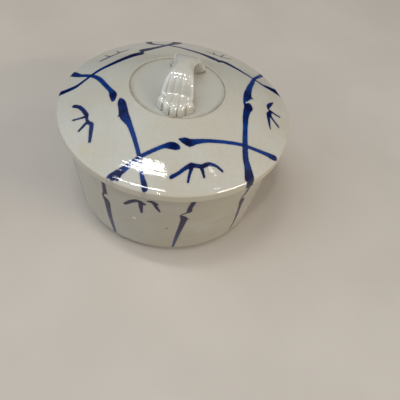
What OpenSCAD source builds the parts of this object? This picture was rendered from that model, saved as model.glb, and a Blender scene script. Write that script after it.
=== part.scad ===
// Lidded donburi bowl: a straight-sided bowl, an overhanging lid and a fluted strap handle.
// Millimetres, +Z up. The origin is the middle of the foot ring, on the table. The handle arches
// from the front (-Y) to the back (+Y).

/* [Bowl] */
// Outside diameter of the bowl at its lip
mouth_d = 156; // [130:1:180]
// Height of the bowl from the table to the top of its lip
bowl_h = 73; // [55:1:100]
// How far the wall draws in on each side between the lip and its lower edge
wall_draft = 7.5; // [1:0.5:10]
// Thickness of the wall
wall = 5; // [4:0.5:7]
// Height of the wall's lower edge above the table, over a slanted undercut
undercut_h = 8; // [5:0.5:12]
// Radius of the wall's lower edge
undercut_r = 1.2; // [0.8:0.1:2]
// Radius between the wall and the floor, inside
inner_corner_r = 10.5; // [6:0.5:16]
// Thickness of the floor
floor_t = 6.5; // [5:0.5:10]

/* [Foot ring] */
// How far the foot ring stands in from the wall's lower edge
foot_inset = 8; // [5:0.5:14]
// Width of the foot ring's flat underside
foot_w = 5; // [3:0.5:8]
// Height of the bowl's underside above the table
foot_h = 2.5; // [1.5:0.5:5]

/* [Lid] */
// How far the lid's rim stands out past the bowl's lip
overhang = 4; // [3:0.5:10]
// Thickness of the lid's rim
rim_t = 7; // [6:0.5:10]
// Radius of the rim's shoulder
shoulder_r = 2.2; // [1.5:0.1:3]
// Radius of the rim's lower edge
edge_r = 1.4; // [0.8:0.1:2]
// Height of the dome from the middle of the rim to the edge of the sunk disc
dome_h = 22; // [14:1:30]
// Thickness of the dome
dome_t = 5.5; // [4.5:0.5:8]
// Depth of the flange that centres the lid in the mouth
flange_h = 7; // [4:0.5:12]
// Thickness of the flange
flange_w = 4.5; // [3:0.5:7]
// Gap between the flange and the inside of the wall
flange_gap = 0.8; // [0.4:0.1:2]
// Gap between the lid's seat and the bowl's lip
seat_gap = 0.3; // [0.2:0.1:0.6]
// Diameter of the sunk disc that the handle stands in
sunk_d = 65.2; // [54:0.2:80]
// Depth of the sunk disc
sunk_h = 1.2; // [0.8:0.1:2]

/* [Handle] */
// Height of the handle above the sunk disc
handle_h = 22; // [17:0.5:30]
// Width of the strap at its crest
strap_w = 13.5; // [10:0.5:19]
// Thickness of the strap at its crest
strap_t = 6; // [5:0.5:9]
// Width of each foot across its lobes
handle_foot_w = 27; // [20:0.5:34]
// Number of rounded ribs along the strap
ribs = 5; // [3:1:7]
// How far the valleys between the lobes are cut back at the end of a foot
lobe_cut = 1.8; // [1:0.2:5]
// How far the outermost lobes stop short of the middle one
lobe_setback = 5.5; // [0:0.5:6.5]
// How far a foot's inner line curves outward at its sides
heel_curve = 1.5; // [0:0.5:2]
// Gap between the longest lobe and the step round the sunk disc
lobe_gap = 0.5; // [0.3:0.1:2]
// Sideways offset of the handle, which was set on by hand
handle_shift = 2.6; // [0:0.1:4]
// Turn of the handle away from the front, in degrees
handle_turn = 3.8; // [0:0.1:6]

/* [Hidden] */
$fn = 120;

// Steps along one arc, along the dome, along a leg, along a foot and across a rib
arc_steps = 8;
dome_steps = 14;
leg_steps = 12;
foot_steps = 9;
rib_steps = 6;

bowl_colour = [0.83, 0.81, 0.75];
lid_colour = [0.86, 0.84, 0.79];
handle_colour = [0.89, 0.88, 0.84];

// Bowl: the wall is one straight draft from the lip to its lower edge
mouth_r = mouth_d / 2;
lip_r = wall / 2;
lip_z = bowl_h - lip_r;
draft_slope = wall_draft / (lip_z - undercut_h);
draft_a = atan(draft_slope);
function wall_r(z) = mouth_r - draft_slope * (lip_z - z);
floor_z = foot_h + floor_t;
inner_corner_z = floor_z + inner_corner_r;
inner_corner_x = wall_r(inner_corner_z) - wall - inner_corner_r;

// Foot ring: its sides lean, and the recess inside it is deeper than the underside outside it
foot_r = wall_r(undercut_h) - foot_inset;
foot_lean_share = 0.3;
foot_lean = foot_lean_share * foot_h;
recess_share = 1.5;
recess_h = recess_share * foot_h;

// Undercut: it slants from the top of the foot ring to the round of the wall's lower edge
undercut_z = undercut_h + undercut_r;
undercut_x = wall_r(undercut_z) - undercut_r;
undercut_run = [undercut_x - foot_r - foot_lean, undercut_z - foot_h];
undercut_a = atan2(undercut_run[1], undercut_run[0]) - asin(undercut_r / norm(undercut_run));

// Lid: the seat is flat, and the rim's upright edge runs over its shoulder into the dome
lid_r = mouth_r + overhang;
seat_z = bowl_h + seat_gap;
shoulder_z = seat_z + rim_t - shoulder_r;
dome_top_z = seat_z + rim_t / 2 + dome_h;
sunk_r = sunk_d / 2;
disc_z = dome_top_z - sunk_h;
step_r = sunk_h / 2;
flange_z = seat_z - flange_h;
flange_r = wall_r(flange_z) - wall - flange_gap;
flange_in_r = flange_r - flange_w;
flange_round_share = 0.3;
flange_round = flange_round_share * flange_w;

// Dome: nearly a cone, crowned by a small share of its fall
crown_share = 0.14;
dome_in_r = sunk_r + step_r;
rim_a = atan(dome_h * (1 + crown_share) / (lid_r - dome_in_r));
dome_out_r = lid_r - shoulder_r + shoulder_r * sin(rim_a);
dome_out_z = shoulder_z + shoulder_r * cos(rim_a);
function dome_z(r) =
    let (t = (r - dome_in_r) / (dome_out_r - dome_in_r))
    mix(dome_top_z, dome_out_z, mix(t, t * t, crown_share));

// Handle: the reach goes from its middle to the end of the longest lobe
lobe_r = sunk_r - step_r - lobe_gap;
reach = sqrt(pow(lobe_r, 2) - pow(handle_shift * cos(handle_turn), 2)) - handle_shift * sin(handle_turn);
// Curves of the strap's outside and underside, as shares of the reach and of the height above the disc
outer_leg_shares = [[0, 1], [0.44, 1], [0.5, 0.7], [0.61, 0.45]];
outer_foot_shares = [[0.61, 0.45], [0.72, 0.36], [0.99, 0.36], [1, 0.04]];
inner_leg_shares = [[0, 1], [0.36, 1], [0.46, 0.45], [0.6, 0]];
outer_leg = [for (p = outer_leg_shares) [p[0] * reach, p[1] * handle_h]];
outer_foot = [for (p = outer_foot_shares) [p[0] * reach, p[1] * handle_h]];
inner_leg = [for (p = inner_leg_shares) [p[0] * reach, p[1] * (handle_h - strap_t)]];
heel_out = outer_leg[3][0];
heel_in = inner_leg[3][0];
// The smooth crest as a share of the reach, and the valleys' depth at a foot as a share of the thickness
crest_share = 0.18;
valley_foot_share = 0.16;
// Powers that round the strap's back at its crest and at a foot, and each rib
back_power_crest = 2.4;
back_power_foot = 8;
back_root = 0.5;
rib_power = 0.3;
// Height of the strap's widest line as a share of its thickness, and the power that rounds its underside
widest_share = 0.35;
under_power = 3;
// Where along the reach a foot is widest and where its toes start to draw in, and by what share
foot_widest_share = 0.92;
toes_share = 0.75;
toe_in_share = 0.06;

function mix(a, b, t) = a + (b - a) * t;
function ease(t) = let (s = min(1, max(0, t))) s * s * (3 - 2 * s);

// Points on a circular arc in the r-z plane
function arc(x, z, r, from, to) =
    [for (i = [0 : arc_steps]) let (a = mix(from, to, i / arc_steps)) [x + r * cos(a), z + r * sin(a)]];

// A point on a cubic curve with four control points
function cubic(p, t) =
    pow(1 - t, 3) * p[0] + 3 * pow(1 - t, 2) * t * p[1] + 3 * (1 - t) * t * t * p[2] + pow(t, 3) * p[3];

module bowl() {
    color(bowl_colour)
        rotate_extrude()
            polygon(concat(
                [[0, recess_h], [foot_r - foot_w - foot_lean, recess_h]],
                [[foot_r - foot_w, 0], [foot_r, 0], [foot_r + foot_lean, foot_h]],
                arc(undercut_x, undercut_z, undercut_r, undercut_a - 90, -draft_a),
                arc(mouth_r - lip_r, lip_z, lip_r, -draft_a, 180 - draft_a),
                arc(inner_corner_x, inner_corner_z, inner_corner_r, -draft_a, -90),
                [[0, floor_z]]
            ));
}

module lid() {
    outside = [for (i = [dome_steps : -1 : 0]) let (r = mix(dome_in_r, dome_out_r, i / dome_steps))
        [r, dome_z(r)]];
    inside = [for (i = [0 : dome_steps]) let (r = mix(sunk_r, flange_in_r, i / dome_steps))
        [r, min(disc_z, dome_z(r)) - dome_t]];
    color(lid_colour)
        rotate_extrude()
            polygon(concat(
                [[0, disc_z - dome_t]],
                inside,
                arc(flange_in_r + flange_round, flange_z + flange_round, flange_round, 180, 270),
                arc(flange_r - flange_round, flange_z + flange_round, flange_round, -90, 0),
                [[flange_r, seat_z]],
                arc(lid_r - edge_r, seat_z + edge_r, edge_r, -90, 0),
                arc(lid_r - shoulder_r, shoulder_z, shoulder_r, 0, 90 - rim_a),
                outside,
                arc(dome_in_r, dome_top_z - step_r, step_r, 90, 180),
                arc(sunk_r - step_r, disc_z + step_r, step_r, 0, -90),
                [[0, disc_z]]
            ));
}

// Cross-section of the strap: u runs from -1 at its left edge to 1 at its right edge
function ridge(u) = pow(abs(sin(ribs * 90 * (u + 1))), rib_power);
function back(u, q) = pow(1 - pow(abs(u), mix(back_power_crest, back_power_foot, ease(q))), back_root);
function valley(q) = valley_foot_share * sqrt(ease((q - crest_share) / (1 - crest_share)));
function height_share(u, q) = mix(widest_share, 1, back(u, q) * (1 - valley(q) * (1 - ridge(u))));
function under_share(u) = widest_share * (1 - pow(1 - pow(abs(u), under_power), back_root));
function toe_in(q) = toe_in_share * ease((q - toes_share) / (1 - toes_share));
function half_w(q) = mix(strap_w, handle_foot_w, ease(q / foot_widest_share)) * (1 - toe_in(q)) / 2;

// Where a lobe or a valley ends: lobes follow the sunk disc's edge, valleys between them are cut back
function valley_cut(u) = abs(u) < 1 - 1 / ribs ? lobe_cut * (1 - ridge(u)) : 0;
function lobe_end(u) =
    sqrt(pow(reach, 2) - pow(u * handle_foot_w / 2, 2)) - lobe_setback * u * u - valley_cut(u);
function stretch(y, heel, u, curve) =
    let (heel_end = heel + curve * u * u)
    y < heel ? y * heel_end / heel : mix(heel_end, lobe_end(u), (y - heel) / (reach - heel));

// Outside and underside of the strap at step k from the crest
function outer_at(k) =
    k <= leg_steps ? cubic(outer_leg, k / leg_steps) : cubic(outer_foot, (k - leg_steps) / foot_steps);
function inner_at(k) =
    k <= leg_steps ? cubic(inner_leg, k / leg_steps)
                   : [mix(heel_in, reach, (k - leg_steps) / foot_steps), 0];

// A point of the strap, on its ribbed outside or on its underside
function strap_point(u, k, side, ribbed) =
    let (o = outer_at(k),
         i = inner_at(k),
         q = o[0] / reach,
         rise = ribbed ? height_share(u, q) : under_share(u),
         y = mix(stretch(i[0], heel_in, u, heel_curve), stretch(o[0], heel_out, u, 0), rise))
    [u * half_w(q), side * y, mix(i[1], o[1], rise)];

module handle() {
    n = ribs * rib_steps;
    loop = 2 * n;
    last = leg_steps + foot_steps;
    points = [for (k = [-last : last], j = [0 : loop - 1])
        let (i = j <= n ? j : loop - j)
        strap_point(2 * i / n - 1, abs(k), sign(k), j <= n)];
    walls = [for (k = [0 : 2 * last - 1], j = [0 : loop - 1])
        let (a = k * loop + j, b = k * loop + (j + 1) % loop)
        each [[a, a + loop, b + loop], [a, b + loop, b]]];
    front = [for (i = [0 : n - 1]) each [[i, i + 1, loop - i - 1], [i, loop - i - 1, (loop - i) % loop]]];
    tips = [for (f = front) if (f[0] != f[1] && f[1] != f[2] && f[2] != f[0]) f];
    rear = 2 * last * loop;
    color(handle_colour)
        translate([handle_shift, 0, disc_z])
            rotate([0, 0, -handle_turn])
                polyhedron(
                    points = points,
                    faces = concat(walls, tips, [for (f = tips) [rear + f[2], rear + f[1], rear + f[0]]]),
                    convexity = 4
                );
}

bowl();
lid();
handle();
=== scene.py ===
"""Looks of a lidded donburi bowl: glazed stoneware with bamboo brushed in cobalt under the glaze.

Lengths are in millimetres until a mesh, a light or the camera is made, and the frame is the CAD's:
+Z up from the table, the front at -Y, +X to the right.
"""
import math

import bpy
import numpy as np
from mathutils import Matrix, Vector


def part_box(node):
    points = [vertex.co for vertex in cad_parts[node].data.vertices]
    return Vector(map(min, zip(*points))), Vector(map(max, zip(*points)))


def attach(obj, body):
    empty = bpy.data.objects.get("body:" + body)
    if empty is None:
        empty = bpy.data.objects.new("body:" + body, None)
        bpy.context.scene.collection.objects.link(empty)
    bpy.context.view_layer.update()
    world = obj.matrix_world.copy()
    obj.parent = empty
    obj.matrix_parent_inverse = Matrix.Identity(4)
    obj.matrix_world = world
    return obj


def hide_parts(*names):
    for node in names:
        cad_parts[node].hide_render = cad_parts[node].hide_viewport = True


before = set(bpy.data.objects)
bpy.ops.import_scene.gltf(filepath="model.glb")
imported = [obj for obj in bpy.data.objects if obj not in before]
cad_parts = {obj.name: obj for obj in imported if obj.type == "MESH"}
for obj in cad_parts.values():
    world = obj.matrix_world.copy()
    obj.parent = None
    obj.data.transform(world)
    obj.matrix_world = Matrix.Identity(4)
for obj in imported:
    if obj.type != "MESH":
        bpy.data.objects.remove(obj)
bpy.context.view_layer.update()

MM = 0.001
FRONT = -math.pi / 2

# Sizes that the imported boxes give
bowl_low, bowl_high = (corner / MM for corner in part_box("bowl"))
lid_low, lid_high = (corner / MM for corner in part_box("lid"))
handle_low, handle_high = (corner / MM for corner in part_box("handle"))
mouth_r = (bowl_high.x - bowl_low.x) / 2
bowl_h = bowl_high.z
lid_r = (lid_high.x - lid_low.x) / 2
dome_top_z = lid_high.z
flange_z = lid_low.z
disc_z = handle_low.z
handle_h = handle_high.z - disc_z

# Sizes that the boxes don't show, as in the CAD
wall = 5
wall_draft = 7.5
heel_h = 8
heel_r = 1.2
floor_t = 6.5
inner_corner_r = 10.5
foot_inset = 8
foot_w = 5
foot_h = 2.5
foot_lean = 0.75
recess_h = 3.75
rim_t = 7
shoulder_r = 2.2
edge_r = 1.4
dome_t = 5.5
seat_gap = 0.3
flange_w = 4.5
flange_gap = 0.8
flange_round = 1.35
sunk_r = 32.6
crown_share = 0.14
strap_w = 13.5
strap_t = 6
handle_foot_w = 27
ribs = 5
lobe_cut = 1.8
lobe_setback = 5.5
lobe_gap = 0.5
heel_curve = 1.5
handle_shift = 2.6
handle_turn = math.radians(3.8)

# Sizes of the bowl that follow from these
lip_r = wall / 2
lip_z = bowl_h - lip_r
draft_slope = wall_draft / (lip_z - heel_h)
draft_a = math.atan(draft_slope)
floor_z = foot_h + floor_t
inner_corner_z = floor_z + inner_corner_r


def wall_r(z):
    """Outside radius of the bowl's wall at a height."""
    return mouth_r - draft_slope * (lip_z - z)


inner_corner_x = wall_r(inner_corner_z) - wall - inner_corner_r
foot_r = wall_r(heel_h) - foot_inset
heel_z = heel_h + heel_r
heel_x = wall_r(heel_z) - heel_r
bevel_run = Vector((heel_x - foot_r - foot_lean, heel_z - foot_h))
bevel_a = math.atan2(bevel_run.y, bevel_run.x) - math.asin(heel_r / bevel_run.length)

# Sizes of the lid that follow from these
seat_z = bowl_h + seat_gap
shoulder_z = seat_z + rim_t - shoulder_r
dome_h = dome_top_z - seat_z - rim_t / 2
step_r = (dome_top_z - disc_z) / 2
dome_in_r = sunk_r + step_r
rim_a = math.atan(dome_h * (1 + crown_share) / (lid_r - dome_in_r))
dome_out_r = lid_r - shoulder_r + shoulder_r * math.sin(rim_a)
dome_out_z = shoulder_z + shoulder_r * math.cos(rim_a)
flange_r = wall_r(flange_z) - wall - flange_gap
flange_in_r = flange_r - flange_w

# Sizes of the handle that follow from these
disc_r = sunk_r - step_r - lobe_gap
reach = (math.sqrt(disc_r ** 2 - (handle_shift * math.cos(handle_turn)) ** 2)
         - handle_shift * math.sin(handle_turn))


def mix(a, b, t):
    """A value between a, at t = 0, and b, at t = 1."""
    return a + (b - a) * t


def ease(low, high, x):
    """0 below low, 1 above high, with a smooth rise between; low may be the greater."""
    t = np.clip((x - low) / (high - low), 0, 1)
    return t * t * (3 - 2 * t)


def dome_z(r):
    """Height of the lid's dome at a radius."""
    t = (r - dome_in_r) / (dome_out_r - dome_in_r)
    return mix(dome_top_z, dome_out_z, mix(t, t * t, crown_share))


# Profiles, from the underside's middle round to the top's middle.
# The last number of an arc or a line is the step between its points.
def arc(x, z, r, start, end, step):
    """Points of a circular arc in the r-z plane, angles in radians, about step apart."""
    n = max(2, round(abs(end - start) * r / step))
    return [(x + r * math.cos(a), z + r * math.sin(a)) for a in np.linspace(start, end, n + 1)]


def line(start, end, step):
    """Points from start up to end, which is left out, about step apart."""
    n = max(1, round(math.dist(start, end) / step))
    return [(mix(start[0], end[0], i / n), mix(start[1], end[1], i / n)) for i in range(n)]


def rounded(start, corner, end, size):
    """A corner between two straight runs, softened over size on both sides."""
    c = Vector(corner)
    a = c + (Vector(start) - c).normalized() * size
    b = c + (Vector(end) - c).normalized() * size
    return [tuple(a.lerp(c, t).lerp(c.lerp(b, t), t)) for t in np.linspace(0, 1, 6)]


def bowl_profile():
    """Recess, foot ring, heel and wall, over the lip and down to the floor."""
    quarter = math.pi / 2
    recess = (foot_r - foot_w - foot_lean, recess_h)
    foot_in, foot_out = (foot_r - foot_w, 0), (foot_r, 0)
    foot_top = (foot_r + foot_lean, foot_h)
    heel = arc(heel_x, heel_z, heel_r, bevel_a - quarter, -draft_a, 0.35)
    centre, soft = (0, recess_h), 0.7
    path = line(centre, (recess[0] - soft, recess_h), 5)
    path += rounded(centre, recess, foot_in, soft)
    path += rounded(recess, foot_in, foot_out, soft)
    path += rounded(foot_in, foot_out, foot_top, soft)
    path += rounded(foot_out, foot_top, heel[0], soft)
    path += line(path[-1], heel[0], 1.4)[1:] + heel
    path += line(path[-1], (wall_r(lip_z), lip_z), 0.9)[1:]
    path += arc(mouth_r - lip_r, lip_z, lip_r, -draft_a, math.pi - draft_a, 0.75)
    inner = arc(inner_corner_x, inner_corner_z, inner_corner_r, -draft_a, -quarter, 1.8)
    path += line(path[-1], inner[0], 2.5)[1:] + inner
    return path + line(inner[-1], (0, floor_z), 4)[1:] + [(0, floor_z)]


def lid_profile():
    """Hollow, flange, seat and rim, then the dome, the step and the sunk disc."""
    quarter = math.pi / 2
    inside = [(r, min(disc_z, dome_z(r)) - dome_t) for r in np.linspace(sunk_r, flange_in_r, 15)]
    throat, seat_in = (flange_in_r, flange_z + flange_round), (flange_r, seat_z)
    soft = 1.2
    path = line((0, disc_z - dome_t), inside[0], 4) + inside[:-1]
    path += rounded(inside[-2], inside[-1], throat, soft) + [throat]
    path += arc(flange_in_r + flange_round, throat[1], flange_round, -2 * quarter, -quarter, 0.6)[1:]
    path += arc(flange_r - flange_round, throat[1], flange_round, -quarter, 0, 0.6)
    path += rounded(path[-1], seat_in, (lid_r - edge_r, seat_z), soft / 2)
    path += line(path[-1], (lid_r - edge_r, seat_z), 1.6)[1:]
    path += arc(lid_r - edge_r, seat_z + edge_r, edge_r, -quarter, 0, 0.45)
    # A small bevel, then a low bead that is flatter than the dome where they meet
    bevel_r, bevel_w, bevel_tilt = 1.0, 0.75, math.radians(43)
    bead_r, bead_out, bead_in = 42, math.radians(24), math.radians(20.5)
    bevel_in = lid_r - bevel_r * (1 - math.sin(bevel_tilt)) - bevel_w * math.cos(bevel_tilt)
    band_out = bevel_in - bevel_r * (math.sin(bevel_tilt) - math.sin(bead_out))
    band_in = band_out - bead_r * (math.sin(bead_out) - math.sin(bead_in))
    bead_mid = Vector((band_in, dome_z(band_in))) - bead_r * Vector((math.sin(bead_in), math.cos(bead_in)))
    bead = arc(*bead_mid, bead_r, quarter - bead_out, quarter - bead_in, 0.4)
    inner = Vector(bead[0]) - bevel_r * Vector((math.sin(bead_out), math.cos(bead_out)))
    outer = inner + bevel_w * Vector((math.cos(bevel_tilt), -math.sin(bevel_tilt)))
    path += line(path[-1], (lid_r, outer.y), 0.8)[1:]
    path += arc(*outer, bevel_r, 0, quarter - bevel_tilt, 0.2)
    bevel = arc(*inner, bevel_r, quarter - bevel_tilt, quarter - bead_out, 0.15)
    path += line(path[-1], bevel[0], 0.25)[1:] + bevel + bead[1:-1]
    path += [(r, dome_z(r)) for r in np.arange(band_in, dome_in_r, -0.78)]
    path += arc(dome_in_r, dome_top_z - step_r, step_r, quarter, 2 * quarter, 0.25)[1:]
    path += arc(sunk_r - step_r, disc_z + step_r, step_r, 0, -quarter, 0.25)[1:]
    return path + line(path[-1], (0, disc_z), 3)[1:] + [(0, disc_z)]


# Turned pieces, with this many steps round the axis
TURNS = 560


class Turned:
    """A profile turned round the axis, held as arrays until its mesh is made."""

    def __init__(self, profile, turns):
        self.profile = np.array(profile)
        self.turns = turns
        rings = self.profile[1:-1]
        self.ring = np.repeat(np.arange(1, len(rings) + 1), turns)
        self.angle = np.tile(np.arange(turns) * 2 * math.pi / turns, len(rings))
        self.r = self.profile[self.ring, 0]
        self.z = self.profile[self.ring, 1]
        steps = np.linalg.norm(np.diff(self.profile, axis=0), axis=1)
        self.run = np.concatenate([[0], np.cumsum(steps)])

    def faces(self):
        """Quads between the rings, closed by triangles round a pole at each end."""
        n, rings = self.turns, len(self.profile) - 2
        under, top = rings * n, rings * n + 1
        out = [(under, (j + 1) % n, j) for j in range(n)]
        for i in range(rings - 1):
            a, b = i * n, (i + 1) * n
            out += [(a + j, a + (j + 1) % n, b + (j + 1) % n, b + j) for j in range(n)]
        last = (rings - 1) * n
        return out + [(last + j, last + (j + 1) % n, top) for j in range(n)]

    def with_poles(self, values, under=0.0, top=0.0):
        """Values at all points: those of the rings, then the two poles."""
        return np.concatenate([values, [under, top]])

    def mesh(self, name, r, z, attributes):
        """A smooth mesh in metres, which carries the attributes at its points."""
        x = self.with_poles(r * np.cos(self.angle))
        y = self.with_poles(r * np.sin(self.angle))
        z = self.with_poles(z, self.profile[0, 1], self.profile[-1, 1])
        mesh = bpy.data.meshes.new(name)
        mesh.from_pydata(np.stack([x, y, z], 1) * MM, [], self.faces())
        mesh.polygons.foreach_set("use_smooth", [True] * len(mesh.polygons))
        for key, values in attributes.items():
            made = mesh.attributes.new(key, "FLOAT", "POINT")
            made.data.foreach_set("value", self.with_poles(values).astype(np.float32))
        return mesh

    def corner_places(self):
        """Ring and turn of each face corner, where the turn after the last isn't wrapped to 0."""
        n, rings = self.turns, len(self.profile) - 2
        j = np.arange(n)
        under = np.stack([np.zeros(n), np.ones(n), np.ones(n)], 1)
        under_j = np.stack([j + 0.5, j + 1, j], 1)
        quads, quads_j = [], []
        for i in range(1, rings):
            quads.append(np.tile([i, i, i + 1, i + 1], n))
            quads_j.append(np.stack([j, j + 1, j + 1, j], 1).ravel())
        top = np.tile([rings, rings, rings + 1], n)
        top_j = np.stack([j, j + 1, j + 0.5], 1)
        ring = np.concatenate([under.ravel(), *quads, top]).astype(int)
        return ring, np.concatenate([under_j.ravel(), *quads_j, top_j.ravel()])


def add_bake_map(mesh, u, v):
    layer = mesh.uv_layers.new(name="OFBake")
    layer.uv.foreach_set("vector", np.stack([u, v], 1).astype(np.float32).ravel())


def disc_map(run, angle, centre, radius, longest):
    """Flat map of a round surface: run is the distance along the profile from the middle."""
    share = radius * run / longest
    return centre[0] + share * np.cos(angle), centre[1] + share * np.sin(angle)


def first(wanted):
    """Place of the first true value."""
    return int(np.flatnonzero(wanted)[0])


def wave(angle, size, lobes, start):
    """A low wave round the axis, from 0 to twice its size."""
    return size * (1 + np.cos(lobes * angle + start))


def lowest_of_face(mesh, values):
    """For each corner of a face, the lowest of the values at that face's corners."""
    starts, sizes = (np.zeros(len(mesh.polygons), np.int32) for _ in range(2))
    mesh.polygons.foreach_get("loop_start", starts)
    mesh.polygons.foreach_get("loop_total", sizes)
    return np.repeat(np.minimum.reduceat(values, starts), sizes)


# Brush strokes: points (across, along, width) that a smooth curve is drawn through.
# On the lid they are X and Y seen from above. Past the dome's edge they run on over the rim.
LID_STALKS = [
    # Left stalk, upper joint, lower joint and its barb
    [(-85, 20, 4.6), (-79, 18, 6), (-72, 13.5, 4), (-62, 10, 3.5), (-55, 4, 3.5),
     (-47.5, -6, 3.2), (-43.5, -11, 3.5), (-41, -15.5, 5), (-40, -20, 2.8)],
    [(-35.7, -19, 1), (-34, -22.5, 5), (-32, -27.5, 5.8), (-30, -33, 6.2), (-27.5, -36.5, 5),
     (-24.5, -41, 3.4), (-19.5, -50.5, 2.8), (-14.8, -61, 2.7), (-11, -72, 2.6), (-9.2, -76, 3.5),
     (-8.3, -78.2, 3.6), (-7.9, -79.5, 3.9)],
    [(-31.5, -30.5, 4), (-33.6, -33.6, 1)],
    # Front stalk
    [(-31.9, -74.7, 1.2), (-30, -73.4, 2.8), (-26, -70.8, 3.4)],
    [(-25.4, -76, 1.6), (-25, -74, 2.6), (-24, -70, 3)],
    [(-28.6, -74.6, 3.6), (-28, -73.9, 5), (-25.7, -71.6, 5), (-21.3, -67.7, 3.8),
     (-14.8, -61, 2.8), (-6.5, -55.4, 2.7), (-1, -52.2, 3), (3.5, -51, 5), (6.5, -51.2, 4.4),
     (8.3, -51.6, 2)],
    [(7.7, -46, 1.4), (11.5, -46.3, 4.6), (14.5, -46.7, 5.2), (18, -45.2, 3.8), (25, -42.5, 2.7),
     (40, -38.4, 2.6), (49, -36.5, 2.5), (60, -35.8, 2.8), (65.7, -35.6, 3.3), (69, -35.7, 4.2),
     (70.8, -35.7, 4.4), (71.4, -35.6, 4)],
    [(14, -47.5, 3.5), (14.8, -49.3, 1)],
    # Right stalk, with a tail over the rim
    [(63, 56.5, 4), (60, 53.5, 3.6), (56.7, 46.5, 2.8), (53.5, 39, 2.6), (52, 31.5, 3.2),
     (50, 22, 4), (49, 14.5, 5), (48.6, 9, 6), (47.5, 4.5, 4), (46.6, 1, 2), (47.5, -3.3, 2)],
    [(50, 9.5, 4), (52.6, 8.4, 1)],
    [(50.4, 0.6, 3), (50, -2.5, 6.2), (49.2, -6, 5.4), (48.5, -13, 4.4), (49, -23, 3.6),
     (50, -35, 3.8), (51.6, -45, 4.2), (53.4, -50, 4.8), (54.9, -54.6, 6), (55.5, -57.2, 6.6),
     (55.6, -58, 6.4)],
    [(56, -59.6, 4), (56.3, -61.2, 3.6), (56.5, -62.6, 2.4)],
]
LID_FAR_STALKS = [
    # Left one
    [(-85, -6.5, 4.9), (-79, -4.5, 4.4), (-72, -1.3, 3.9), (-69, 1.5, 2.9), (-64, 8.6, 2.7),
     (-58, 17, 3.4), (-50.5, 24, 4.4), (-42.3, 32, 5.4), (-37, 36.8, 6.6), (-33.6, 39, 7.1)],
    [(-34, 38, 4.9), (-31.9, 36.4, 1.2)],
    [(-33.8, 40, 4.4), (-32.3, 42.5, 3.2), (-32.6, 45.5, 2.7)],
    [(-33.8, 46.2, 3), (-31.5, 47.6, 6.8), (-27.3, 51, 5.6), (-22, 56.5, 4.4), (-16.5, 64.5, 3.7),
     (-12.5, 71, 5.4), (-10, 77, 7.3), (-9.4, 82, 7.3)],
    # Right one
    [(76.5, 34, 7), (72.5, 35.5, 7), (66, 35.8, 5), (60.5, 35.6, 2.8), (54.5, 38, 2), (45, 42, 2.6),
     (36, 46.2, 4.4), (31, 48.2, 5.6), (28, 49, 5)],
    [(27, 47.5, 3), (25, 45.3, 3)],
    [(25, 47.2, 4), (22, 48.4, 6.3), (18, 50.3, 6), (11, 53.6, 4.5), (2, 57, 3.8), (-6, 61, 3),
     (-16, 64.3, 3), (-25, 65, 3), (-30, 68, 4.4), (-32.5, 74, 5), (-33.5, 79, 4.4)],
]
LID_SPRAYS = [
    # Left spray: four leaves and the stem that joins them
    [(-66.3, -21.3, 3), (-62.3, -22.9, 2.9), (-58.5, -26.5, 2.8), (-55.2, -31, 3)],
    [(-63.6, -33.8, 1.8), (-59, -32.9, 1.6), (-55.2, -31.8, 2.6)],
    [(-55.2, -31.5, 2.4), (-54, -35, 2), (-52.3, -37, 2.4)],
    [(-57.5, -43, 1.8), (-55.2, -39.2, 2.2), (-53.4, -36, 2)],
    [(-53, -37, 2.4), (-50.3, -38.6, 3), (-49.4, -43.3, 2.8), (-48.3, -51.4, 2)],
    # Front spray
    [(6.7, -70.4, 2.6), (10.8, -67.1, 2.4), (15, -62.8, 2.8), (18, -60.8, 4)],
    [(17.4, -71.2, 1.7), (17.6, -66.5, 1.9), (18.3, -61.5, 2.8)],
    [(18.5, -60.4, 3), (23.3, -60, 2.8), (26, -58.8, 3)],
    [(26.8, -66, 1.6), (25.6, -63.2, 2), (24, -60, 3)],
    [(25.5, -59, 2.8), (28.5, -57.2, 2.8), (33, -57, 1.9), (37.5, -59, 1.8)],
    # Right spray
    [(68.7, 17.3, 0.8), (66.7, 13.6, 2.6), (64.9, 9.4, 3), (64.8, 6.2, 1.4)],
    [(73.7, 4, 1.7), (70, 4.4, 1.8), (66.6, 5.2, 2.6)],
    [(66.6, 5.2, 2.4), (65.6, 0.5, 4)],
    [(73.3, -7.1, 1.7), (68.5, -2.3, 1.9), (65.8, 1, 3)],
    [(65, 0.3, 3), (65.5, -4.5, 2.4), (66.3, -9.5, 1.6), (67.2, -13.2, 0.8)],
]
LID_FAR_SPRAYS = [
    # Left one
    [(-61.5, 32.3, 1.8), (-56, 38.2, 2.2)],
    [(-56, 38.4, 1.8), (-50.5, 44, 2)],
    [(-60.5, 42.5, 1.2), (-55.6, 39, 1.8)],
    [(-53.2, 49.4, 1.2), (-50, 45.6, 2)],
    [(-44, 51, 1.2), (-49.8, 45.6, 2)],
    # Right one
    [(28.5, 69, 1), (26.5, 61, 2)],
    [(20, 68, 1), (21.5, 61.5, 1.8)],
    [(26.3, 61, 1.8), (21.8, 61, 1.8)],
    [(35, 64.5, 1), (30, 61, 1.8), (26.6, 60.5, 2)],
    [(14.5, 66, 1), (18, 62.5, 1.6), (21.5, 61, 2)],
]
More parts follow.
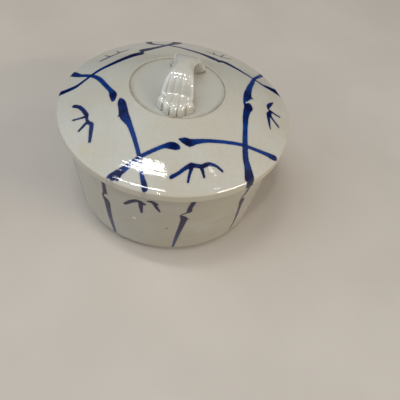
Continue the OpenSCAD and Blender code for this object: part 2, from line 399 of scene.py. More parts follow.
# On the bowl a point is (degrees from the stalk's place, height, width)
BOWL_STALKS = [
    [[(0.1, 71, 3), (0.3, 66, 3), (0.2, 60, 3.3), (0.2, 57.5, 3.9)],
     [(0.2, 57.8, 3), (1.5, 55.9, 1.2)],
     [(0.1, 57, 2.7), (-1.3, 53.5, 1.8), (-1.9, 51.2, 1.4)],
     [(-1.9, 51.2, 1.4), (-0.6, 48.8, 4.2), (0.3, 46.8, 5.4), (0.4, 41, 4.8), (0.7, 28.4, 4.2),
      (1.5, 19.4, 3.6), (2.4, 11, 2.7), (2.8, 6, 1.5)]],
    [[(5.4, 71, 3), (4.9, 67, 3.2), (4.1, 62.5, 3.2), (4, 58.5, 3.4)],
     [(4.2, 57.4, 2), (1.8, 55.6, 1.2), (-0.2, 53.3, 0.9)],
     [(-0.2, 53.2, 0.9), (1.9, 49.6, 4.6), (1.8, 44.5, 4.2), (1, 36, 3.6), (0.3, 29.3, 3.2),
      (-0.6, 18.7, 2.6), (-1.2, 11.6, 1.9), (-1.6, 7, 1.2)],
     [(2.2, 49.6, 2.2), (4.6, 48.3, 0.8)]],
    [[(-0.6, 71, 3.1), (-0.8, 67, 3.1), (-1.4, 62, 2.9), (-2.2, 59, 2.6)],
     [(-2.2, 59, 2.4), (-3.4, 56, 1.9), (-3.7, 53.3, 1.4)],
     [(-3.7, 53, 1.7), (-2.4, 50.5, 5), (-1.8, 45, 3.6), (-1.4, 39.6, 3.1), (-0.1, 24.3, 2.6),
      (-0.4, 14.4, 1.9), (-1, 9.8, 1.4), (-1.2, 6, 1)]],
]
BOWL_SPRAY = [
    # Left leaf, middle leaf and its bud, then the right leaf and its strand
    [(-8.3, 55.2, 2.1), (-5, 60.6, 2.9), (-2, 63.7, 2.9), (0.1, 63.4, 3.4)],
    [(0.5, 51.3, 1.7), (0.3, 57.5, 2.8), (0.2, 62.8, 3.4)],
    [(0.2, 63.2, 3.2), (1.9, 62, 2.5)],
    [(3.6, 66.3, 1.4), (5.5, 66.7, 2.8), (7.3, 65.1, 3), (8.5, 64.4, 1.3)],
    [(6.5, 65.2, 2.1), (8.1, 60.6, 2.4), (9.6, 56.4, 1.3)],
]
# Places round the bowl in degrees from the front, each with the shape of its stalk
BOWL_STALK_PLACES = [(-141, 1), (-98, 0), (-54, 2), (-28, 0), (12, 1), (50, 2), (90, 0), (131, 1),
                     (174, 2)]
BOWL_SPRAY_PLACES = [-128, -8, 111]

# How a group of strokes is laid on: load of colour, how fully it covers, and the shine left over it
BOWL_BRUSH = (0.35, 0.92, 0.2)
LID_LAYERS = [
    (LID_STALKS, 0.25, 1, 0.4),
    (LID_SPRAYS, 0.4, 1, 0.4),
    (LID_FAR_STALKS, 0.45, 1, 0.06),
    (LID_FAR_SPRAYS, 0.5, 0.75, 0.06),
]
# Depth where there is no stroke
NO_INK = -9.0


def drawn(points):
    """A smooth curve through a stroke's points."""
    per_span = 7
    p = np.array([points[0], *points, points[-1]], float)
    out = []
    for a, b, c, d in zip(p, p[1:], p[2:], p[3:]):
        for t in np.arange(per_span) / per_span:
            out.append(0.5 * (2 * b + (c - a) * t + (2 * a - 5 * b + 4 * c - d) * t ** 2
                              + (3 * b - a - 3 * c + d) * t ** 3))
    return np.array(out + [p[-1]])


def place_in_stroke(path, x, y):
    """Half the stroke's width at each point, how far the point is from its middle line and on which side,
    and how far it is along the stroke and from the nearer end."""
    start, step = path[:-1, :2], np.diff(path[:, :2], axis=0)
    length = np.linalg.norm(step, axis=1)
    run = np.concatenate([[0], np.cumsum(length)])
    off = np.stack([x, y], 1)[:, None] - start
    t = np.clip((off * step).sum(2) / np.maximum(length, 1e-6) ** 2, 0, 1)
    gap = np.linalg.norm(off - t[..., None] * step, axis=2)
    half = mix(path[:-1, 2], path[1:, 2], t) / 2
    best = (gap - half).argmin(1)
    pick = np.arange(len(x)), best
    side = np.sign(off[pick][:, 0] * step[best, 1] - off[pick][:, 1] * step[best, 0])
    along = run[best] + t[pick] * length[best]
    return half[pick], gap[pick], side, along, np.minimum(along, run[-1] - along)


def paint(layers, x, y):
    """Marks that the brush left at each point, from layers of strokes as in LID_LAYERS.

    They are the depth inside the nearest stroke, its load, cover and shine, and the place across it and
    along it.
    """
    # How far round a stroke to look, and a spacing that gives each stroke streaks of its own
    margin, spacing = 6, 37.0
    # More colour lies in wide strokes, at the ends, where the brush paused, and where strokes cross
    narrow_half, wide_half, least_half, pause = 1.4, 2.9, 0.3, 9
    wide_load, end_load, crossing_load = 0.35, 0.25, 0.25
    ink = np.full(len(x), NO_INK)
    load, cover, shine, across, along, passes = (np.zeros(len(x)) for _ in range(6))
    every_stroke = [(stroke, *brush) for strokes, *brush in layers for stroke in strokes]
    for number, (stroke, own_load, own_cover, own_shine) in enumerate(every_stroke, 1):
        path = drawn(stroke)
        low, high = path[:, :2].min(0) - margin, path[:, :2].max(0) + margin
        near = np.flatnonzero((x > low[0]) & (x < high[0]) & (y > low[1]) & (y < high[1]))
        half, gap, side, at, from_end = place_in_stroke(path, x[near], y[near])
        depth = half - gap
        passes[near] += depth > 0
        win = depth > ink[near]
        hit = near[win]
        ink[hit] = depth[win]
        wide, ends = ease(narrow_half, wide_half, half), ease(pause, 0, from_end)
        load[hit] = (own_load + wide_load * wide + end_load * ends)[win]
        cover[hit] = own_cover
        shine[hit] = own_shine
        across[hit] = (side * gap / np.maximum(half, least_half))[win]
        along[hit] = at[win] + spacing * number
    load += crossing_load * (passes > 1)
    return {"ink": ink, "load": load, "cover": cover, "shine": shine, "across": across, "along": along}


# Bowl. A pair of numbers in ease is where a mark fades out and where it is full.
def bowl_radius(shape):
    """Radius at each point: thrown by hand, slightly out of round, with low rings up the wall."""
    wobble = wave(shape.angle, 0.16, 2, 0.7) + wave(shape.angle, 0.07, 3, 2)
    ring_size, ring_pitch, ring_sway = 0.02, 0.62, 0.5
    rings = ring_size * (1 + np.sin(shape.z * ring_pitch + ring_sway * np.sin(2 * shape.angle)))
    outside = shape.r > wall_r(shape.z) - wall * 0.3
    rings *= outside * ease(heel_z, heel_z + 8, shape.z) * ease(lip_z, lip_z - 6, shape.z)
    return shape.r - wobble * ease(0, heel_h, shape.z) - rings


def bowl_marks(shape, outside):
    """Painting, wear, and darkening round the foot ring at each point."""
    degrees = (np.degrees(shape.angle - FRONT) + 180) % 360 - 180
    degree_mm = math.radians(1) * wall_r(bowl_h / 2)
    placed = [(place, BOWL_STALKS[kind]) for place, kind in BOWL_STALK_PLACES]
    placed += [(place, BOWL_SPRAY) for place in BOWL_SPRAY_PLACES]
    strokes = [[((place + a) * degree_mm, z, w) for a, z, w in stroke]
               for place, motif in placed for stroke in motif]
    marks = paint([(strokes, *BOWL_BRUSH)], degrees * degree_mm, shape.z)
    marks["ink"] = np.where(outside & (shape.z > heel_h), marks["ink"], NO_INK)
    marks["bare"] = ease(0.55, 0.25, shape.z) * (shape.r < foot_r + 1)
    on_lip = ease(1.7, 0.6, np.abs(shape.z - bowl_h))
    on_heel = ease(1.5, 0.7, np.hypot(shape.r - wall_r(heel_h), shape.z - heel_h - 0.4))
    marks["thin"] = np.maximum(on_lip * 0.8, on_heel)
    marks["pool"] = np.where(outside, 0, ease(inner_corner_z, floor_z, shape.z))
    # Darker round the foot ring, under the bowl
    marks["grime"] = ease(1.5, 0.4, np.abs(shape.z - foot_h)) * (shape.r < foot_r + 3) * outside
    return marks


def map_bowl(mesh, shape, foot_ring, lip_ring):
    """Bake map: the wall in two strips, then the inside and the underside as discs."""
    strip_w, strip_h, margin = 0.83, 0.285, 0.012
    inside_at, inside_size = (0.215, 0.79), 0.195
    under_at, under_size = (0.66, 0.79), 0.19
    ring, turned = shape.corner_places()
    angle = turned * 2 * math.pi / shape.turns
    strip_turns = shape.turns / 2
    second = lowest_of_face(mesh, turned) >= strip_turns
    climb = (shape.run[ring] - shape.run[foot_ring]) / (shape.run[lip_ring] - shape.run[foot_ring])
    wall_map = (margin + strip_w * (turned / strip_turns - second),
                margin + strip_h * climb + second * (strip_h + margin))
    from_middle = shape.run[-1] - shape.run
    inside_map = disc_map(from_middle[ring], angle, inside_at, inside_size, from_middle[lip_ring])
    under_map = disc_map(shape.run[ring], angle, under_at, under_size, shape.run[foot_ring])
    face_ring = lowest_of_face(mesh, ring)
    inside, under = face_ring >= lip_ring, face_ring < foot_ring
    add_bake_map(mesh, *(np.where(inside, i, np.where(under, u, w))
                         for i, u, w in zip(inside_map, under_map, wall_map)))


def painted_bowl():
    shape = Turned(bowl_profile(), TURNS)
    lip_ring = int(shape.profile[:, 1].argmax())
    foot_ring = first(shape.profile[:, 0] >= foot_r - 0.8)
    marks = bowl_marks(shape, shape.ring <= lip_ring)
    mesh = shape.mesh("glazed_bowl", bowl_radius(shape), shape.z, marks)
    map_bowl(mesh, shape, foot_ring, lip_ring)
    return mesh


# Lid
def lid_form(shape):
    """Radius and height at each point: slightly out of round and warped towards the rim."""
    out_share = ease(dome_in_r + 12, lid_r, shape.r)
    wobble = wave(shape.angle, 0.16, 2, 1.9) + wave(shape.angle, 0.06, 5, 0)
    warp = wave(shape.angle, 0.12, 2, 0.4) + wave(shape.angle, 0.06, 3, 1.2)
    return shape.r - wobble * out_share, shape.z + warp * out_share


def lid_marks(shape, on_top):
    """Painting, wear, and grime with painted shade at each point."""
    # Past the dome's edge the painting is measured along the profile, over the rim
    dome_ring = first((shape.profile[:, 0] < dome_out_r) & (shape.profile[:, 1] > shoulder_z))
    past = shape.run[dome_ring] - shape.run[shape.ring]
    paint_r = np.where(on_top & (past > 0), shape.profile[dome_ring, 0] + past, shape.r)
    marks = paint(LID_LAYERS, paint_r * np.cos(shape.angle), paint_r * np.sin(shape.angle))
    marks["ink"] = np.where(on_top, marks["ink"], NO_INK)

    # A dark line of grime and painted shade lies in patches in the corner of the step round the disc; the
    # painted shade makes it darker and wider at the front
    front = np.maximum(-np.sin(shape.angle), 0)
    patchy = 0.75 + 0.25 * np.sin(3 * shape.angle + 1) * np.sin(5 * shape.angle)
    patchy *= 0.55 + 0.35 * front
    from_ring = np.abs(sunk_r - shape.r - 0.2 - 0.7 * front)
    marks["grime"] = ease(0.5 + 0.4 * front, 0.1, from_ring) * patchy * on_top
    on_rim = ease(lid_r - 1.6, lid_r - 0.5, shape.r) * ease(seat_z, seat_z + edge_r, shape.z)
    on_step = ease(1.3, 0.3, np.abs(shape.r - sunk_r) - step_r) * on_top
    marks["thin"] = np.maximum(on_rim * 0.8, on_step * 0.04)
    marks["pool"] = on_top * ease(dome_in_r - 0.5, sunk_r - 6, shape.r) * 0.8
    seat = (shape.z < seat_z + 0.4) & (shape.r < lid_r - edge_r)
    marks["bare"] = seat * ease(flange_in_r - 1, flange_in_r + 1, shape.r)
    return marks


def map_lid(mesh, shape, seat_ring):
    """Bake map: the top as a large disc and the underside as a small one."""
    top_at, top_size = (0.4, 0.4), 0.39
    under_at, under_size = (0.82, 0.82), 0.17
    ring, turned = shape.corner_places()
    angle = turned * 2 * math.pi / shape.turns
    from_middle = shape.run[-1] - shape.run
    top_map = disc_map(from_middle[ring], angle, top_at, top_size, from_middle[seat_ring])
    under_map = disc_map(shape.run[ring], angle, under_at, under_size, shape.run[seat_ring])
    top = lowest_of_face(mesh, ring) >= seat_ring
    add_bake_map(mesh, *(np.where(top, t, u) for t, u in zip(top_map, under_map)))


def painted_lid():
    shape = Turned(lid_profile(), TURNS)
    hair = 0.01
    seat_ring = first((shape.profile[:, 0] > lid_r - edge_r - hair) & (shape.profile[:, 1] < seat_z + hair))
    mesh = shape.mesh("glazed_lid", *lid_form(shape), lid_marks(shape, shape.ring >= seat_ring))
    map_lid(mesh, shape, seat_ring)
    return mesh


# Handle: the CAD's strap in finer steps, with a straighter taper and blunter lobes.
# Curves of its outside and underside, as shares of the reach and of the height above the disc.
OUTER_LEG = [(0, 1), (0.44, 1), (0.5, 0.7), (0.61, 0.45)]
OUTER_FOOT = [(0.61, 0.45), (0.72, 0.345), (0.995, 0.39), (1, 0.04)]
INNER_LEG = [(0, 1), (0.36, 1), (0.46, 0.45), (0.6, 0)]
# The smooth crest as a share of the reach, and the valleys' depth at a foot as a share of the thickness
VALLEY_START, VALLEY_FOOT = 0.18, 0.16
# Powers that round the strap's back and each rib
BACK_POWER_CREST, BACK_POWER_FOOT, BACK_ROOT, RIB_POWER = 2.4, 8, 0.5, 0.42
# Height of the widest line as a share of the thickness, and the power that rounds the underside
WIDEST, UNDER_POWER = 0.35, 3
# Where along the reach a foot is widest and where its toes start to draw in, and by what share
WIDEST_AT, TOES_AT, TOE_IN = 0.92, 0.75, 0.06
# How much of the taper is eased, where 0 is a straight taper
TAPER_EASE = 0.4
# Steps along a leg and along a foot, and across a rib
LEG_STEPS, FOOT_STEPS, RIB_STEPS = 40, 30, 14


def cubic(points, t, scale):
    """A point of the curve that four control points give."""
    p = np.array(points) * scale
    return ((1 - t) ** 3 * p[0] + 3 * (1 - t) ** 2 * t * p[1] + 3 * (1 - t) * t * t * p[2]
            + t ** 3 * p[3])


def ridge(u):
    """1 along the middle of a rib and 0 in a valley; u runs from -1 to 1 across the strap."""
    return np.abs(np.sin(ribs * math.pi / 2 * (u + 1))) ** RIB_POWER


def lobe_end(u):
    """How far out a lobe, or the valley beside it, reaches along the disc."""
    edge = np.sqrt(reach ** 2 - (u * handle_foot_w / 2) ** 2)
    cut = np.where(np.abs(u) < 1 - 1 / ribs, lobe_cut * (1 - ridge(u)), 0)
    return edge - lobe_setback * u * u - cut


def stretched(y, heel, u, curve=0.0):
    """Distance from the crest with the foot stretched to its lobes, and the heel curved at its sides."""
    heel_end = heel + curve * u * u
    return np.where(y < heel, y * heel_end / heel, mix(heel_end, lobe_end(u), (y - heel) / (reach - heel)))


def strap_curves(k):
    """Outside and underside of the strap at step k from the crest."""
    outer_size, inner_size = (reach, handle_h), (reach, handle_h - strap_t)
    if k <= LEG_STEPS:
        t = k / LEG_STEPS
        return cubic(OUTER_LEG, t, outer_size), cubic(INNER_LEG, t, inner_size)
    t = (k - LEG_STEPS) / FOOT_STEPS
    return cubic(OUTER_FOOT, t, outer_size), (mix(INNER_LEG[3][0] * reach, reach, t), 0)


def fluted(k):
    """How deep the valleys are at step k, from 0 at the crest to 1 at the end of a foot."""
    return math.sqrt(ease(VALLEY_START, 1, strap_curves(k)[0][0] / reach))


def strap_row(k, side, u, lift):
    """Points of the strap at step k from the crest; lift is 0 underneath and 1 on the ribs."""
    outer, inner = strap_curves(k)
    q = ease(0, 1, outer[0] / reach)
    valley = VALLEY_FOOT * fluted(k)
    back = (1 - np.abs(u) ** mix(BACK_POWER_CREST, BACK_POWER_FOOT, q)) ** BACK_ROOT
    ribbed = mix(WIDEST, 1, back * (1 - valley * (1 - ridge(u))))
    under = WIDEST * (1 - (1 - np.abs(u) ** UNDER_POWER) ** BACK_ROOT)
    rise = mix(under, ribbed, lift)
    y = mix(stretched(inner[0], INNER_LEG[3][0] * reach, u, heel_curve),
            stretched(outer[0], OUTER_LEG[3][0] * reach, u), rise)
    taper = min(outer[0] / reach / WIDEST_AT, 1)
    width = mix(strap_w, handle_foot_w, mix(taper, ease(0, 1, taper), TAPER_EASE))
    width *= 1 - TOE_IN * ease(TOES_AT, 1, outer[0] / reach)
    x, y = u * width / 2, side * y
    cos, sin = math.cos(handle_turn), math.sin(handle_turn)
    return np.stack([x * cos + y * sin + handle_shift, y * cos - x * sin,
                     mix(inner[1], outer[1], rise) + disc_z], 1)


def strap_handle():
    """Rows of points from one foot over the crest to the other, joined and closed at both ends."""
    n = ribs * RIB_STEPS
    loop, last = 2 * n, LEG_STEPS + FOOT_STEPS
    place = np.concatenate([np.arange(n + 1), np.arange(n - 1, 0, -1)])
    u = 2 * place / n - 1
    lift = np.concatenate([np.ones(n + 1), np.zeros(n - 1)])
    rows = [strap_row(abs(k), 1 if k > 0 else -1, u, lift) for k in range(-last, last + 1)]
    faces = []
    for k in range(2 * last):
        a, b = k * loop, (k + 1) * loop
        faces += [(a + j, a + (j + 1) % loop, b + (j + 1) % loop, b + j) for j in range(loop)]
    ends = [(i, i + 1, loop - i - 1, (loop - i) % loop) for i in range(1, n - 1)]
    ends += [(0, 1, loop - 1), (n - 1, n, n + 1)]
    rear = 2 * last * loop
    faces += [tuple(reversed(face)) for face in ends] + [tuple(rear + i for i in face) for face in ends]
    mesh = bpy.data.meshes.new("strap_handle")
    mesh.from_pydata(np.concatenate(rows) * MM, [], faces)
    mesh.polygons.foreach_set("use_smooth", [True] * len(mesh.polygons))
    # Painted shade in the grooves between the ribs, deepening towards the feet, carried in the pool mark
    pool = mesh.attributes.new("pool", "FLOAT", "POINT")
    deep = [fluted(abs(k)) for k in range(-last, last + 1)]
    shade_in_grooves = np.outer(deep, (1 - ridge(u)) * lift).ravel()
    pool.data.foreach_set("value", shade_in_grooves.astype(np.float32))
    return mesh


# Materials
def srgb(*channels):
    """A screen colour of 0 to 255 as the linear colour that a shader takes."""
    parts = [c / 255 for c in channels]
    return *[p / 12.92 if p <= 0.04045 else ((p + 0.055) / 1.055) ** 2.4 for p in parts], 1.0


class Graph:
    """Short calls that build the nodes of one material or world."""

    def __init__(self, owner):
        owner.use_nodes = True
        self.tree = owner.node_tree
        self.coords = self.add("ShaderNodeTexCoord")

    @classmethod
    def of_material(cls, name):
        """A graph for a new material, where at is the place on the object in millimetres."""
        material = bpy.data.materials.new(name)
        graph = cls(material)
        graph.material = material
        graph.shader = graph.tree.nodes["Principled BSDF"]
        graph.at = graph.vector("SCALE", graph.coords.outputs["Object"], scale=1 / MM)
        return graph

    def add(self, kind, **settings):
        node = self.tree.nodes.new(kind)
        for key, value in settings.items():
            setattr(node, key, value)
        return node

    def put(self, socket, value):
        if isinstance(value, bpy.types.NodeSocket):
            self.tree.links.new(value, socket)
        else:
            socket.default_value = value

    def vector(self, operation, a, b=None, scale=None):
        node = self.add("ShaderNodeVectorMath", operation=operation)
        self.put(node.inputs[0], a)
        if b is not None:
            self.put(node.inputs[1], b)
        if scale is not None:
            node.inputs["Scale"].default_value = scale
        return node.outputs["Value" if operation in ("LENGTH", "DISTANCE", "DOT_PRODUCT") else "Vector"]

    def math(self, operation, *values):
        node = self.add("ShaderNodeMath", operation=operation)
        for socket, value in zip(node.inputs, values):
            self.put(socket, value)
        return node.outputs[0]

    def rise(self, value, low, high, start=0.0, end=1.0):
        """start below low and end above high, with a smooth rise between; low may be the greater."""
        node = self.add("ShaderNodeMapRange", interpolation_type="SMOOTHSTEP")
        for key, number in zip(("From Min", "From Max", "To Min", "To Max"), (low, high, start, end)):
            node.inputs[key].default_value = number
        self.put(node.inputs["Value"], value)
        return node.outputs["Result"]

    def blend(self, share, a, b, kind="MIX"):
        """A colour between two others. Sockets 6 and 7 of the node take colours."""
        node = self.add("ShaderNodeMix", data_type="RGBA", blend_type=kind)
        for socket, value in zip((node.inputs[0], node.inputs[6], node.inputs[7]), (share, a, b)):
            self.put(socket, value)
        return node.outputs[2]

    def between(self, share, a, b):
        """A number between two others. Sockets 2 and 3 of the node take numbers."""
        node = self.add("ShaderNodeMix", data_type="FLOAT")
        for socket, value in zip((node.inputs[0], node.inputs[2], node.inputs[3]), (share, a, b)):
            self.put(socket, value)
        return node.outputs[0]

    def noise(self, scale, detail=2.0, vector=None, output="Fac"):
        """Soft noise with about scale waves a millimetre."""
        node = self.add("ShaderNodeTexNoise")
        self.put(node.inputs["Vector"], vector or self.at)
        node.inputs["Scale"].default_value = scale
        node.inputs["Detail"].default_value = detail
        return node.outputs[output]

    def cells(self, scale, feature="F1", vector=None):
        """Scattered cells, about scale of them a millimetre, as the outputs of the node."""
        node = self.add("ShaderNodeTexVoronoi", feature=feature)
        self.put(node.inputs["Vector"], vector or self.at)
        node.inputs["Scale"].default_value = scale
        return node.outputs

    def spot(self, place, inner, outer):
        """1 within inner of a place, falling to 0 at outer."""
        return self.rise(self.vector("DISTANCE", self.at, place), outer, inner)

    def mark(self, name):
        """A mark that the mesh carries at its points."""
        return self.add("ShaderNodeAttribute", attribute_name=name).outputs["Fac"]

    def split(self, value, kind="XYZ"):
        """The three parts of a vector, or of a colour with kind Color."""
        node = self.add("ShaderNodeSeparate" + kind)
        self.put(node.inputs[0], value)
        return node.outputs

    def combine(self, x, y, z):
        node = self.add("ShaderNodeCombineXYZ")
        for socket, value in zip(node.inputs, (x, y, z)):
            self.put(socket, value)
        return node.outputs[0]

    def bump(self, height):
        """Bump from a height in millimetres."""
        node = self.add("ShaderNodeBump")
        node.inputs["Strength"].default_value = 1.0
        node.inputs["Distance"].default_value = MM
        self.put(node.inputs["Height"], height)
        self.tree.links.new(node.outputs["Normal"], self.shader.inputs["Normal"])


# Colours of the glaze, pale and warm in clouds, and of what shows in it
LID_PALE = srgb(190, 187, 176)
LID_WARM = srgb(188, 182, 167)
# The bowl's glaze is set darker than the lid's, which paints shade onto the bowl's wall
BOWL_SHADED_PALE = srgb(181, 177, 165)
BOWL_SHADED_WARM = srgb(177, 170, 154)
RIB_PALE = srgb(199, 196, 185)
RIB_WARM = srgb(195, 190, 177)
# Painted shade for the grooves between the handle's ribs
GROOVE_SHADE = srgb(176, 170, 154)
POOLED = srgb(190, 187, 177)
THIN = srgb(194, 181, 156)
DULL = srgb(150, 142, 126)
CRACKLE = srgb(140, 120, 92)
IRON = srgb(96, 78, 58)
STAIN = srgb(190, 168, 112)
BROWN_SPOT = srgb(88, 60, 46)
PALE_SPOT = srgb(214, 206, 190)
# Grime, and painted shade in corners
GRIME_AND_SHADE = srgb(98, 94, 86)
CLAY_DARK = srgb(186, 168, 140)
CLAY_PALE = srgb(206, 190, 164)

# Colours of the cobalt, where it is thin and where it is thick
LID_WASH = srgb(4, 55, 130)
LID_DEEP = srgb(1, 11, 58)
BOWL_WASH = srgb(18, 18, 90)
BOWL_DEEP = srgb(4, 2, 50)
# Colour that the bowl's strokes turn to towards the foot
BOWL_LOW_GREY_BLUE = srgb(56, 72, 106)

# Gloss
GLAZE_SHINE = 0.5
GLAZE_IOR = 1.45
RIB_IOR = 1.7
CLAY_ROUGHNESS = 0.85


def glaze_colour(g, pale, warm, pooled_and_groove_shade):
    """Cloudy cream glaze, cooler where it pools and darker in the handle's grooves as painted shade, with
    iron specks and faint crackle.
    """
    colour = g.blend(g.rise(g.noise(0.035, 3), 0.35, 0.65), pale, warm)
    colour = g.blend(g.rise(g.noise(0.4, 4), 0.3, 0.75, 0.0, 0.10), colour, DULL)
    # Pooled glaze, and on the handle painted shade in the grooves
    colour = g.blend(g.mark("pool"), colour, pooled_and_groove_shade)
    bent = g.vector("ADD", g.at, g.vector("SCALE", g.noise(0.25, output="Color"), scale=4.0))
    edge = g.cells(0.13, "DISTANCE_TO_EDGE", bent)["Distance"]
    patches = g.rise(g.noise(0.05, 1), 0.45, 0.7, 0.0, 0.15)
    colour = g.blend(g.math("MULTIPLY", g.rise(edge, 0.02, 0.004), patches), colour, CRACKLE)
    specks = g.cells(0.12)
    few = g.rise(g.split(specks["Color"], "Color")[0], 0.78, 0.8, 0.0, 0.75)
    return g.blend(g.math("MULTIPLY", g.rise(specks["Distance"], 0.045, 0.02), few), colour, IRON)


def painted_over(g, colour, wash, deep):
    """Cobalt under the glaze: streaked along the stroke, dark at its edges and where the brush paused."""
    ragged = g.math("MULTIPLY_ADD", g.noise(0.9, 3), 0.6, -0.3)
    ink = g.math("ADD", g.mark("ink"), ragged)
    solid = g.math("MULTIPLY", g.rise(ink, -0.25, 0.3), g.mark("cover"))
    bristles = g.combine(g.math("MULTIPLY", g.mark("across"), 2.2),
                         g.math("MULTIPLY", g.mark("along"), 0.07), 0.0)
    streaks = g.math("MULTIPLY_ADD", g.noise(1.6, 4, bristles), 0.9, -0.45)
    edges = g.rise(g.math("ABSOLUTE", g.mark("across")), 0.45, 1.0, 0.0, 0.2)
    clouds = g.rise(g.noise(0.18, 3), 0.3, 0.7, -0.15, 0.15)
    load = g.mark("load")
    for more in (streaks, edges, clouds):
        load = g.math("ADD", load, more)
    blue = g.blend(g.rise(load, -0.1, 0.9), wash, deep)
    halo = g.math("MULTIPLY", g.rise(ink, -1.5, 0.2, 0.0, 0.14), g.mark("cover"))
    colour = g.blend(halo, colour, wash)
    # Dry cobalt dulls the glaze over it
    g.put(g.shader.inputs["Specular IOR Level"], g.between(solid, GLAZE_SHINE, g.mark("shine")))
    return g.blend(solid, colour, blue)


def thin_edges(g, colour):
    """The body showing warm through the glaze along rims and lips."""
    return g.blend(g.math("MULTIPLY", g.mark("thin"), 0.5), colour, THIN)


def finish_glaze(g, colour, height, roughness, ior=GLAZE_IOR):
    """Gloss between two values of roughness, and the fine unevenness of a fired surface."""
    g.put(g.shader.inputs["Roughness"], g.rise(g.noise(0.12), 0.3, 0.7, *roughness))
    g.put(g.shader.inputs["Base Color"], colour)
    g.shader.inputs["IOR"].default_value = ior
    pits = g.rise(g.cells(0.3)["Distance"], 0.0, 0.08, -0.012, 0.0)
    peel = g.math("MULTIPLY", g.noise(0.3), 0.02)
    g.bump(g.math("ADD", g.math("ADD", height, peel), pits))


def wipe_bare(g):
    """Grime and painted shade in the corners, and bare clay where the glaze was wiped off, on a finished
    glaze.
    """
    shader = g.shader
    colour, rough = (shader.inputs[key].links[0].from_socket for key in ("Base Color", "Roughness"))
    # Patches of grime and painted shade where the mark lies
    grime = g.math("MULTIPLY", g.mark("grime"), g.rise(g.noise(0.3), 0.25, 0.6, 0.35, 0.8))
    colour = g.blend(grime, colour, GRIME_AND_SHADE)
    clay = g.blend(g.noise(0.8, 4), CLAY_DARK, CLAY_PALE)
    bare = g.mark("bare")
    g.put(shader.inputs["Base Color"], g.blend(bare, colour, clay))
    g.put(shader.inputs["Roughness"], g.between(bare, rough, CLAY_ROUGHNESS))


def turning_marks(g, amount, per_mm):
    """Fine ridges round the axis left by the potter's rib, as a height."""
    x, y, z = g.split(g.at)
    radius = g.vector("LENGTH", g.combine(x, y, 0.0))
    turn = [g.math("MULTIPLY", g.math("DIVIDE", part, radius), 2.2) for part in (x, y)]
    climb = g.math("MULTIPLY", g.math("ADD", radius, z), per_mm)
    return g.math("MULTIPLY", g.noise(1.0, 1, g.combine(climb, *turn)), amount)


def lid_glaze():
    g = Graph.of_material("lid_glaze")
    colour = thin_edges(g, glaze_colour(g, LID_PALE, LID_WARM, POOLED))
    # A yellow stain at the front left
    stain = g.spot((-51.5, -57.5, 84.0), 0.5, 7.0)
    colour = g.blend(g.math("MULTIPLY", stain, 0.3), colour, STAIN)
    colour = painted_over(g, colour, LID_WASH, LID_DEEP)
    finish_glaze(g, colour, turning_marks(g, 0.05, 0.6), (0.03, 0.06))
    wipe_bare(g)
    return g.material


def on_wall(degrees, z):
    """A point on the bowl's wall, by its turn from the front and its height."""
    turn = FRONT + math.radians(degrees)
    return wall_r(z) * math.cos(turn), wall_r(z) * math.sin(turn), z


def bowl_glaze():
    g = Graph.of_material("bowl_glaze")
    # Glaze darker than the lid's, as painted shade on the wall
    colour = thin_edges(g, glaze_colour(g, BOWL_SHADED_PALE, BOWL_SHADED_WARM, POOLED))
    # The strokes turn greyer and paler towards the foot
    low = g.rise(g.split(g.at)[2], 42.0, 12.0)
    wash, deep = (g.blend(low, blue, BOWL_LOW_GREY_BLUE) for blue in (BOWL_WASH, BOWL_DEEP))
    colour = painted_over(g, colour, wash, deep)
    colour = g.blend(g.spot(on_wall(5.9, 36), 0.5, 0.9), colour, BROWN_SPOT)
    colour = g.blend(g.spot(on_wall(-11.6, 41.6), 1.0, 1.7), colour, PALE_SPOT)
    finish_glaze(g, colour, turning_marks(g, 0.012, 0.4), (0.04, 0.09))
    wipe_bare(g)
    return g.material


def handle_glaze():
    g = Graph.of_material("handle_glaze")
    # Painted shade darkens the grooves between the ribs
    colour = glaze_colour(g, RIB_PALE, RIB_WARM, GROOVE_SHADE)
    finish_glaze(g, colour, g.math("MULTIPLY", g.noise(0.5, 1), 0.06), (0.03, 0.05), RIB_IOR)
    # The glaze runs thick and rich on the ribs, and sparkles more than on the wide faces
    for key, value in (("Coat Weight", 1.0), ("Coat IOR", RIB_IOR), ("Coat Roughness", 0.04)):
        g.shader.inputs[key].default_value = value
    return g.material


def add_piece(mesh, material, node, body):
    piece = bpy.data.objects.new(mesh.name, mesh)
    bpy.context.scene.collection.objects.link(piece)
    mesh.materials.append(material)
    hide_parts(node)
    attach(piece, body)


add_piece(painted_bowl(), bowl_glaze(), "bowl", "bowl")
add_piece(painted_lid(), lid_glaze(), "lid", "lid")
add_piece(strap_handle(), handle_glaze(), "handle", "lid")


# Table, in metres as the lamps and the camera are
def add_table():
    half = 2.0
    mesh = bpy.data.meshes.new("table")
    corners = [(-half, -half, 0), (half, -half, 0), (half, half, 0), (-half, half, 0)]
    mesh.from_pydata(corners, [], [(0, 1, 2, 3)])
    g = Graph.of_material("table")
    colour = g.blend(g.rise(g.noise(0.01, 3), 0.3, 0.7), srgb(194, 185, 174), srgb(200, 191, 180))
    g.put(g.shader.inputs["Base Color"], colour)
    g.shader.inputs["Roughness"].default_value = 0.6
    mesh.materials.append(g.material)
    table = bpy.data.objects.new("table", mesh)
    bpy.context.scene.collection.objects.link(table)


add_table()

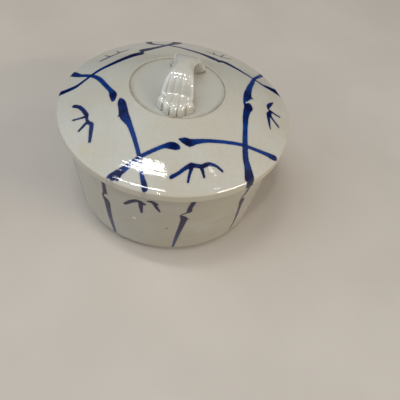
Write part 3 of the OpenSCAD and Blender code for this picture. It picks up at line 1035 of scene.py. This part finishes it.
# Light: oval lamps, whose reflections are the highlights on the lid, its rim and the handle
WHITE_LIGHT = (1.0, 1.0, 1.0)
WARM_LIGHT = (1.0, 0.93, 0.82)
ACROSS = (0.99, -0.12, 0)
LAMPS = [
    # Name, place, size, watts, the point it faces, the direction of its long side, colour
    ("main_panel", (-0.29, -0.088, 1.28), (0.52, 0.036), 1.7, (-0.29, -0.088, 0), ACROSS, WHITE_LIGHT),
    ("near_panel", (-0.18, -0.126, 1.28), (0.34, 0.050), 1.6, (-0.18, -0.126, 0), ACROSS, WHITE_LIGHT),
    ("front_spot", (-0.078, -0.597, 1.265), (0.09, 0.06), 1.9, (0, -0.02, 0.1), (1, 0, 0), WHITE_LIGHT),
    ("side_panel", (0.475, 0.02, 1.28), (0.08, 0.03), 0.06, (0.475, 0.02, 0), (1, 0, 0), WHITE_LIGHT),
    ("rim_strip", (1.013, -0.518, 0.80), (0.62, 0.06), 3.4, (0.05, -0.06, 0.08), (0.61, 0.74, -0.29),
     WARM_LIGHT),
]


def turned_to(place, right, up, back):
    """Where a lamp or camera stands, and how it is turned, as one matrix."""
    return Matrix.Translation(place) @ Matrix((right, up, back)).transposed().to_4x4()


def add_lamp(name, place, size, watts, target, along, colour):
    lamp = bpy.data.lights.new(name, "AREA")
    lamp.shape = "ELLIPSE"
    lamp.size, lamp.size_y = size
    lamp.energy = watts
    lamp.color = colour
    back = (Vector(place) - Vector(target)).normalized()
    side = (Vector(along) - Vector(along).project(back)).normalized()
    lamp_object = bpy.data.objects.new(name, lamp)
    lamp_object.matrix_world = turned_to(place, side, back.cross(side), back)
    bpy.context.scene.collection.objects.link(lamp_object)


for row in LAMPS:
    add_lamp(*row)

# Room: a dim even base, with wide soft glows that have no edges for the glaze to mirror
ROOM_BASE = (0.04, 0.04, 0.04, 1.0)
GLOWS = [
    # Direction, colour, strength, and the angles in degrees where the glow is full and where it ends
    ((-0.15, -0.42, 0.90), (1.0, 0.93, 0.90), 0.12, 5, 48),
    ((-0.72, -0.30, 0.60), (0.74, 0.86, 1.0), 1.22, 5, 54),
    ((0.72, -0.30, 0.60), (1.0, 0.92, 0.78), 0.66, 5, 54),
    ((-0.95, 0.00, 0.30), (0.90, 0.96, 1.0), 0.48, 5, 50),
    ((0.95, 0.00, 0.30), (1.0, 0.95, 0.90), 0.50, 5, 50),
    ((0.10, 0.85, 0.50), (0.70, 0.86, 1.0), 0.05, 5, 60),
]


def light_room():
    world = bpy.data.worlds.new("room")
    g = Graph(world)
    colour = ROOM_BASE
    for direction, tint, strength, full, end in GLOWS:
        toward = g.vector("DOT_PRODUCT", g.coords.outputs["Generated"], Vector(direction).normalized())
        share = g.rise(toward, math.cos(math.radians(end)), math.cos(math.radians(full)))
        colour = g.blend(share, colour, (*(strength * part for part in tint), 1.0), "ADD")
    g.put(g.tree.nodes["Background"].inputs["Color"], colour)
    bpy.context.scene.world = world


light_room()


# Camera: where the photograph was taken from, held a little askew
def add_camera():
    place = Vector((0.0207, -0.2750, 0.3117))
    heading, look_down, roll = (math.radians(a) for a in (1.63, 50.01, 10.26))
    image_px, focal_px, sensor_mm = 400, 500, 36
    forward = Vector((math.sin(heading) * math.cos(look_down), math.cos(heading) * math.cos(look_down),
                      -math.sin(look_down)))
    level_right = forward.cross(Vector((0, 0, 1))).normalized()
    level_up = level_right.cross(forward)
    right = math.cos(roll) * level_right + math.sin(roll) * level_up
    data = bpy.data.cameras.new("camera")
    data.sensor_width = sensor_mm
    data.lens = sensor_mm * focal_px / image_px
    data.clip_start = 0.01
    camera = bpy.data.objects.new("camera", data)
    camera.matrix_world = turned_to(place, right, right.cross(forward), -forward)
    bpy.context.scene.collection.objects.link(camera)
    bpy.context.scene.camera = camera


add_camera()
bpy.context.scene.view_settings.view_transform = "Standard"
